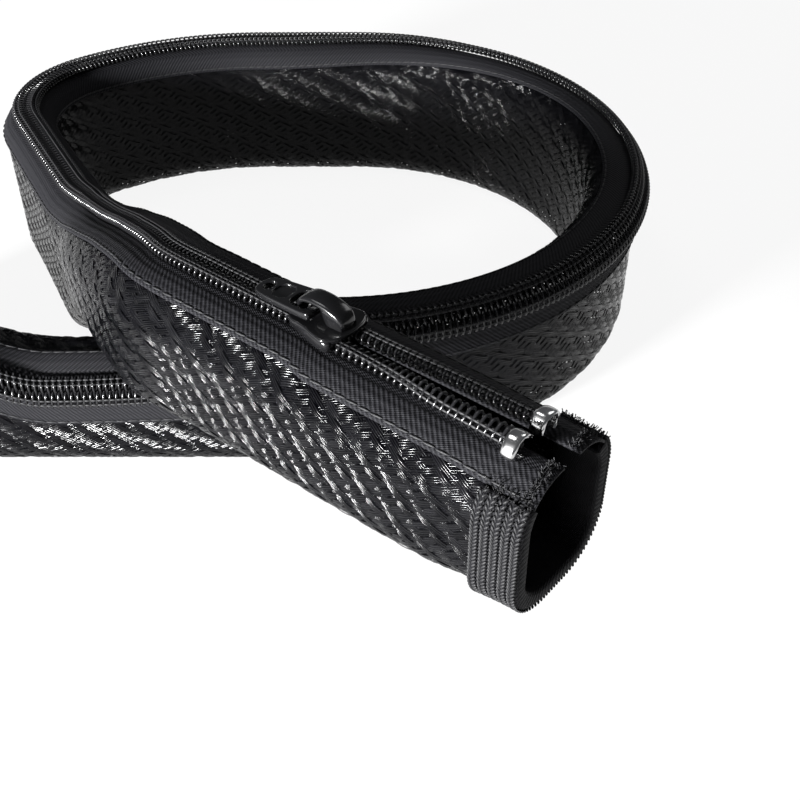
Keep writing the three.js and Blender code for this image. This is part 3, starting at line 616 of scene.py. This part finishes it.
def coil(name, side):
    per_turn = 12
    turns = int((TOTAL - 2 * COIL_START) / COIL_PITCH)
    turn = np.arange(turns * per_turn + 1) / per_turn
    distance = COIL_START + (turn + (0 if side > 0 else 0.5)) * COIL_PITCH
    angle = turn * 2 * math.pi
    inner, outer = -HEAD_REACH + FILAMENT, COIL_OUTER - FILAMENT
    middle_across, middle_up = (inner + outer) / 2, COIL_LOW + COIL_HEIGHT / 2
    across = middle_across - (outer - inner) / 2 * blunted(np.cos(angle), 0.7)
    up = middle_up + (COIL_HEIGHT / 2 - FILAMENT) * blunted(np.sin(angle), 0.7)
    path = coil_place(distance, side, across, up)
    surface = Surface()
    surface.tube(path, path - coil_place(distance, side, middle_across, middle_up), FILAMENT, 5)
    piece(name + "_turns", surface, COIL, replaces=[name])


def coil_cord(name, side):
    """The cord inside a coil, and the row of stitches over it that holds the coil to its tape."""
    surface = Surface()
    distance = ring_places(COIL_START, TOTAL - COIL_START, 2)
    middle_up = COIL_LOW + COIL_HEIGHT / 2
    path = coil_place(distance, side, CORD_ACROSS, middle_up)
    surface.tube(path, coil_place(distance, side, CORD_ACROSS, middle_up + 1) - path, 0.4, 6)
    turns = int((TOTAL - 2 * COIL_START) / COIL_PITCH) - 1
    along = COIL_START + (np.arange(turns) + 0.75) * COIL_PITCH
    crest = COIL_LOW + COIL_HEIGHT
    for across in COIL_STITCH_ROWS:
        middle = coil_place(along, side, across, crest - 0.12)
        forward = coil_place(along + 0.2, side, across, crest - 0.12) - middle
        outward = coil_place(along, side, across, crest + 1) - middle
        surface.beads(middle, forward, outward, (1.3, 0.5, 0.34))
    piece(name + "_thread", surface, STITCH, replaces=[name])


for word, side in (("left", -1), ("right", 1)):
    coil("coil_" + word, side)
    coil_cord("coil_cord_" + word, side)

# Seams: a row of lockstitches that holds each tape to the braid
SEAM_STITCH = 2.6
for word, side in (("left", -1), ("right", 1)):
    surface = Surface()
    along = np.arange(1.5, TOTAL - 1.5, SEAM_STITCH)
    round_ = side * (TAPE_OUTER - 0.75 + spread_at(along))
    surface.stitches(along, round_, TAPE_HIGH + 0.04, 0.06, (2.4, 0.42, 0.3))
    piece("seam_" + word + "_stitches", surface, STITCH, replaces=["seam_" + word])


# Hems: ribbed binding folded over the cut end, knitted stitches on its ribs, and loose fibres
HEM_VALLEY = TOUCH_GAP + HEM_LAYER
HEM_CREST = TOUCH_GAP + HEM_LAYER + HEM_RIB_HEIGHT
HEM_RIB = HEM_WIDTH / HEM_RIBS
POINTS_PER_RIB = 6
KNIT_STITCHES = 84
KNIT_SLANT = 0.65
KNIT_STITCH = (1.2, 0.5, 0.6)
FIBRES = 110
FIBRE_RADIUS = 0.09


def hem_profile():
    """Places from the cut end and heights round the folded binding, from its inner layer to its ribs."""
    low = -BRAID_WALL - TOUCH_GAP
    profile = [
        (1, low),
        (HEM_WIDTH, low),
        (HEM_WIDTH, low - HEM_LAYER),
        (0.5, low - HEM_LAYER),
        (0.1, low - 0.3),
    ]
    for k in range(HEM_RIBS * POINTS_PER_RIB + 1):
        swell = abs(math.sin(math.pi * k / POINTS_PER_RIB)) ** 0.6
        reach = min(1, (k + 2) / 5)
        height = reach * HEM_VALLEY + (HEM_CREST - HEM_VALLEY) * swell
        profile.append((k * HEM_RIB / POINTS_PER_RIB, height))
    return profile + [(HEM_WIDTH, TOUCH_GAP), (1, TOUCH_GAP)]


def hem_cloth(word, at_distance):
    along, height = np.array(hem_profile()).T
    distance = at_distance(along)
    edge = TAPE_OUTER + spread_at(distance)
    share = np.linspace(0, 1, 90)[:, None]
    start, end = edge + 0.3, girth_at(distance) - edge - 0.3
    wobble = 1 + 0.02 * np.sin(share * 60) + 0.02 * np.sin(share * 37)
    round_ = start + (end - start) * share
    cloth = np.stack([*np.broadcast_arrays(round_, 3 * along, 0.0)], -1)
    surface = Surface()
    surface.grid(fabric(distance, round_, height * wobble), cloth, closed=True, capped=True)
    piece("hem_" + word + "_cloth", surface, HEM_CLOTH, replaces=["hem_" + word])


def hem_knit(word, at_distance):
    knit = Surface()
    for row in range(HEM_RIBS):
        for half in (-1, 1):
            at = at_distance((row + 0.5 + 0.2 * half) * HEM_RIB + np.zeros(KNIT_STITCHES))
            first = TAPE_OUTER + spread_at(at) + 0.8
            share = (np.arange(KNIT_STITCHES) + 0.25 * half) / (KNIT_STITCHES - 1)
            spot = first + (girth_at(at) - 2 * first) * share
            knit.stitches(at, spot, HEM_CREST - 0.08, math.pi / 2 + half * KNIT_SLANT, KNIT_STITCH)
    piece("hem_" + word + "_knit", knit, KNIT, replaces=["hem_thread_" + word])


def hem_fibres(word, at_distance):
    """Fibres on the binding's corners, and on the tapes' frayed ends beside them."""
    fibres = Surface()
    rng = np.random.default_rng(11)
    for corner, frayed in ((-1, False), (1, False), (-1, True), (1, True)):
        along_hem = rng.uniform(0.2, HEM_WIDTH - 0.5, FIBRES) ** (0.4 if frayed else 1) - 0.2 * frayed
        at = at_distance(along_hem)
        if frayed:
            from_zipper = rng.uniform(TAPE_EDGE, TAPE_OUTER, FIBRES)
        else:
            from_zipper = rng.normal(TAPE_OUTER + 0.4, 0.9, FIBRES)
        root = corner * (from_zipper + spread_at(at))
        starts = fabric(at, root, TAPE_HIGH - 0.1 if frayed else HEM_CREST - 0.4)
        outs = unit(fabric(at, root, HEM_CREST + 1) - starts)
        for start, out, lean in zip(starts, outs, unit(rng.normal(0, 1, (FIBRES, 3)))):
            path = [start + out * (0.5 * t) + lean * (0.7 * t * t) for t in (0, 0.35, 0.7, 1)]
            fibres.tube(np.array(path), np.cross(out, lean), FIBRE_RADIUS, 3, capped=False)
    piece("hem_" + word + "_fibres", fibres, STITCH)


def hem(word, at_distance):
    hem_cloth(word, at_distance)
    hem_knit(word, at_distance)
    hem_fibres(word, at_distance)


hem("front", lambda along: along)
hem("rear", lambda along: TOTAL - along)


# Stops: bent metal staples, closed round one coil at the mouth and round both at the far end
STOP_WALL = 0.5
STOP_TALL = COIL_HEIGHT + 0.95
STOP_INNER = COIL_INNER - 0.5
STOP_OUTER = COIL_OUTER + 0.75
END_STOP_LENGTH = 2.9


def stop(name, start, length, inner, place):
    """A staple from `inner` to STOP_OUTER; `place` turns distance, across and up into a point."""
    turn = np.linspace(-0.15 * math.pi, 1.15 * math.pi, 15)
    arc = np.concatenate([turn, turn[::-1]])
    wall = STOP_WALL * np.repeat((0, 1), len(turn))
    pinch = np.array([0.55, 0.92, 1, 1, 1, 0.92, 0.55])[:, None]
    size = ((STOP_OUTER - inner) / 2 - wall) * (0.9 + 0.1 * pinch)
    high = (STOP_TALL - wall) * (0.85 + 0.15 * pinch)
    across = (inner + STOP_OUTER) / 2 + size * blunted(np.cos(arc), 0.6)
    up = COIL_LOW - 0.1 + high * blunted(np.maximum(np.sin(arc), -0.02), 0.6)
    distance = np.linspace(start, start + length, 7)[:, None]
    surface = Surface()
    surface.grid(place(distance, across, up), closed=True, capped=True)
    piece(name + "_metal", surface, METAL, replaces=[name])


def left_coil_place(distance, across, up):
    return coil_place(distance, -1, across, up)


def right_coil_place(distance, across, up):
    return coil_place(distance, 1, across, up)


stop("top_stop_left", STOP_FROM_MOUTH, STOP_LENGTH, STOP_INNER, left_coil_place)
stop("top_stop_right", STOP_FROM_MOUTH, STOP_LENGTH, STOP_INNER, right_coil_place)
stop("bottom_stop", TOTAL - STOP_FROM_MOUTH - END_STOP_LENGTH, END_STOP_LENGTH, -STOP_OUTER, fabric)


# Slider: rounded plates and a swept cap, in the slider's own axes with +X towards the mouth
def plate(surface, outlines, low, high, rounding, place=lambda points: points):
    """A flat plate with rounded edges, from its outline and the outlines of its holes."""
    curve = bpy.data.curves.new("plate", "CURVE")
    curve.dimensions, curve.fill_mode = "2D", "BOTH"
    curve.extrude = (high - low) / 2 - rounding
    curve.bevel_depth, curve.bevel_resolution, curve.offset = rounding, 2, -rounding
    for outline in outlines:
        spline = curve.splines.new("POLY")
        spline.points.add(len(outline) - 1)
        spline.use_cyclic_u = True
        for point, (x, y) in zip(spline.points, outline):
            point.co = (x, y, 0, 1)
    holder = bpy.data.objects.new("plate", curve)
    mesh = bpy.data.meshes.new_from_object(holder)
    points = np.array([v.co for v in mesh.vertices]) + [0, 0, (low + high) / 2]
    surface.add(place(points) + SLIDER_AT, [list(face.vertices) for face in mesh.polygons])
    bpy.data.objects.remove(holder)
    bpy.data.meshes.remove(mesh)


def smooth_outline(corners, rounds=3):
    """A closed outline with its corners cut into curves."""
    points = np.array(corners, float)
    for _ in range(rounds):
        after = np.roll(points, -1, axis=0)
        points = np.stack([0.75 * points + 0.25 * after, 0.25 * points + 0.75 * after], 1).reshape(-1, 2)
    return points


def both_sides(half_outline):
    return half_outline + [(x, -y) for x, y in reversed(half_outline)]


CHANNEL_HALF = COIL_OUTER + TOUCH_GAP
NOSE_HALF = CHANNEL_HALF + OPEN_SPREAD
SLIDER_WALL = 0.95
WING_LOW = COIL_LOW + COIL_HEIGHT + TOUCH_GAP
WING_TOP = WING_LOW + SLIDER_WALL
HALF = SLIDER_LENGTH / 2


def slider_body():
    surface = Surface()

    def outline(grow):
        return both_sides([
            (-HALF, 0.72 * (CHANNEL_HALF + grow)),
            (-HALF + 1.6, CHANNEL_HALF + grow),
            (-0.3 * HALF, CHANNEL_HALF + grow),
            (0.4 * HALF, NOSE_HALF + grow),
            (HALF - 1.6, NOSE_HALF + grow),
            (HALF, 0.6 * NOSE_HALF),
        ])

    plate(surface, [smooth_outline(outline(SLIDER_WALL), 2)], WING_LOW, WING_TOP, 0.28)
    plate(surface, [smooth_outline(outline(0.6 * SLIDER_WALL), 2)], -SLIDER_WALL, 0, 0.25)
    distance = np.array([-HALF + 1.2, -0.3 * HALF, 0, 0.4 * HALF, HALF - 1.6, HALF - 1.1])
    between = 0.5 * (CHANNEL_HALF + NOSE_HALF)
    reach = np.array([CHANNEL_HALF - 0.3, CHANNEL_HALF, between, NOSE_HALF, NOSE_HALF, NOSE_HALF - 0.4])
    for side in (-1, 1):
        outer, inner = reach + SLIDER_WALL - 0.12, reach + 0.05
        low, high = COIL_LOW + 0.8 + 0 * reach, WING_TOP - 0.3 + 0 * reach
        low[[0, -1]] += 0.7
        corners = [
            (inner, high),
            (outer, high),
            (outer + 0.1, high - 0.6),
            (outer, low + 0.3),
            (outer - 0.35, low),
            (inner, low),
        ]
        points = np.stack([np.stack([distance, side * a, b], -1) for a, b in corners], 1)
        surface.grid(points + SLIDER_AT, closed=True, capped=True)
    post = both_sides([(HALF - 3.9, 0.12), (HALF - 2.3, 0.6), (HALF - 0.8, 0.6)])
    plate(surface, [smooth_outline(post, 1)], -0.5, WING_TOP - 0.4, 0.1)
    piece("slider_shell", surface, ENAMEL, "slider", ["slider_body"])


def slider_cap():
    """A long arched strap over the wing, closed at the nose and open at the sides for the pull's bar."""
    surface = Surface()
    length, height, width, thick = 10.4, 3.5, 4.1, 0.7
    turn = np.linspace(0.02, 0.98, 33) * math.pi
    out_x = -length / 2 * np.cos(turn)
    out_up = np.minimum(height * np.sin(turn) ** 0.62 * (1 + 0.1 * np.cos(turn)), height)
    path = np.stack([out_x, 0 * turn, SLIDER_CAP_LOW + out_up], -1)
    forward = unit(np.gradient(path, axis=0))
    outward = np.stack([-forward[:, 2], 0 * turn, forward[:, 0]], -1)
    solid = ease((out_x - 0.6) / 1.4)
    half = width / 2 * (0.8 + 0.2 * np.sin(turn) ** 0.5)
    section = [(-1, -0.35), (-0.92, -0.1), (-0.7, 0.02), (0, 0.1), (0.7, 0.02), (0.92, -0.1), (1, -0.35)]
    sideways = np.stack([0 * turn, half, 0 * turn], -1)
    rings = [path + outward * lift + share * sideways for share, lift in section]
    for share in (1, 0, -1):
        inside = path - outward * thick + share * sideways
        inside[:, 2] = inside[:, 2] * (1 - solid) + (SLIDER_CAP_LOW - 0.1) * solid
        inside[:, 0] = inside[:, 0] * (1 - solid) + path[:, 0] * solid
        rings.append(inside)
    surface.grid(np.stack(rings, 1) + SLIDER_AT, closed=True, capped=True)
    foot = both_sides([(-length / 2 - 0.1, 1.2), (-length / 2 + 0.9, 1.7)])
    plate(surface, [smooth_outline(foot, 2)], WING_TOP - 0.1, SLIDER_CAP_LOW + 0.5, 0.12)
    nose = both_sides([(0.8, 1.5), (length / 2 - 0.3, 1.6), (length / 2, 0.8)])
    plate(surface, [smooth_outline(nose, 2)], WING_TOP - 0.1, SLIDER_CAP_LOW + 0.3, 0.12)
    piece("slider_crown", surface, ENAMEL, "slider", ["slider_cap"])


# Pull tab: a rimmed plate with a recessed panel and a hole, on two arms and a bar under the cap
BAR_RADIUS = 0.6
BAR_AT = np.array([-1.6, 0, SLIDER_CAP_LOW + BAR_RADIUS + 0.35])
PULL_TILT = math.radians(-5)
PULL_LENGTH = 13.5


def pull_place(points):
    """From the pull's own axes, with its bar at the origin, to the slider's."""
    x, y, z = points[:, 0], points[:, 1], points[:, 2]
    c, s = math.cos(PULL_TILT), math.sin(PULL_TILT)
    return np.stack([c * x + s * z, y, c * z - s * x], -1) + BAR_AT


def pull_tab():
    surface = Surface()
    arm_in, arm_out, half = 2.5, 3.65, 3.3
    neck, tip = -6, -PULL_LENGTH
    rim = both_sides([
        (0.7, arm_out - 0.35),
        (0.2, arm_out),
        (neck, half),
        (tip + 1.6, 0.86 * half),
        (tip, 0.5 * half),
    ])
    ring_hole = both_sides([(-0.3, arm_in), (neck + 1.7, arm_in), (neck + 0.7, arm_in - 0.9)])
    turn = np.arange(20) / 20 * 2 * math.pi
    far_hole = np.stack([tip + 2.1 + 0.95 * np.cos(turn), 1.35 * np.sin(turn)], -1)
    panel = both_sides([(neck - 0.2, 2.1), (neck - 3.9, 1.9)])
    outlines = [smooth_outline(rim, 2), smooth_outline(ring_hole, 2), far_hole]
    plate(surface, [*outlines, smooth_outline(panel, 1)], -0.62, 0.62, 0.18, pull_place)
    floor = both_sides([(neck + 0.1, 2.4), (neck - 4.2, 2.2)])
    plate(surface, [np.array(floor)], -0.35, 0.3, 0.03, pull_place)
    bar = np.linspace(-arm_out + 0.3, arm_out - 0.3, 9)
    path = np.stack([0 * bar, bar, 0 * bar], -1)
    surface.tube(pull_place(path) + SLIDER_AT, np.array([[0, 0, 1.0]]), BAR_RADIUS, 14)
    piece("pull_plate", surface, ENAMEL, "pull", ["pull_tab"])


slider_body()
slider_cap()
pull_tab()
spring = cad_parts["lock_spring"]
for slot in spring.material_slots:
    slot.material = SPRING


# Floor, world, camera and lights
FLOOR_GLOW = 0.9
CAMERA_AT = Vector((0.1722, -0.1734, 0.182))
CAMERA_DOWN = math.radians(39.8)
CAMERA_PLAN = (-0.633, 0.774)
CAMERA_LENS = 51.165
CAMERA_SENSOR = 36


def floor_material():
    """A pale floor that shows and mirrors as white, and keeps a share of the shadows."""
    material, tree, main = shader("floor", (0.86, 0.86, 0.86), 0.7)
    glow = joined(tree, "ShaderNodeEmission", (1, 1, 1, 1), 1.0)
    rays = tree.nodes.new("ShaderNodeLightPath").outputs
    seen = maths(tree, "MAXIMUM", rays["Is Camera Ray"], rays["Is Glossy Ray"])
    seen = maths(tree, "MAXIMUM", seen, rays["Is Transmission Ray"])
    share = maths(tree, "MULTIPLY", seen, FLOOR_GLOW)
    both = joined(tree, "ShaderNodeMixShader", share, main.outputs[0], glow.outputs[0])
    tree.links.new(both.outputs[0], tree.nodes["Material Output"].inputs["Surface"])
    return material


bpy.ops.mesh.primitive_plane_add(size=6, location=(0, 0, -0.0002))
ground = bpy.context.object
ground.name = "floor"
ground.data.materials.append(floor_material())

world = bpy.data.worlds.new("studio")
world.use_nodes = True
sky = world.node_tree.nodes["Background"].inputs
sky["Color"].default_value = (0.93, 0.95, 1, 1)
sky["Strength"].default_value = 0.1
bpy.context.scene.world = world

level = math.cos(CAMERA_DOWN)
look = Vector((CAMERA_PLAN[0] * level, CAMERA_PLAN[1] * level, -math.sin(CAMERA_DOWN)))
camera = bpy.data.objects.new("camera", bpy.data.cameras.new("camera"))
bpy.context.scene.collection.objects.link(camera)
camera.location = CAMERA_AT
camera.rotation_euler = look.to_track_quat("-Z", "Y").to_euler()
camera.data.lens = CAMERA_LENS
camera.data.sensor_width = CAMERA_SENSOR
camera.data.clip_start = 0.01
bpy.context.scene.camera = camera


def soft_light(name, place, aim, size, power):
    lamp = bpy.data.lights.new(name, "AREA")
    lamp.shape, lamp.size, lamp.energy = "SQUARE", size, power
    holder = bpy.data.objects.new(name, lamp)
    bpy.context.scene.collection.objects.link(holder)
    holder.location = place
    holder.rotation_euler = (Vector(aim) - Vector(place)).to_track_quat("-Z", "Y").to_euler()


soft_light("key", (-0.08, -0.83, 0.175), (0.05, -0.07, 0.05), 0.13, 55)
soft_light("top", (-0.3, -0.1, 0.8), (0, 0, 0.03), 0.3, 1.5)
soft_light("back", (0.1, 0.8, 0.6), (0, 0, 0.03), 0.4, 1.5)

bpy.context.scene.view_settings.view_transform = "Standard"
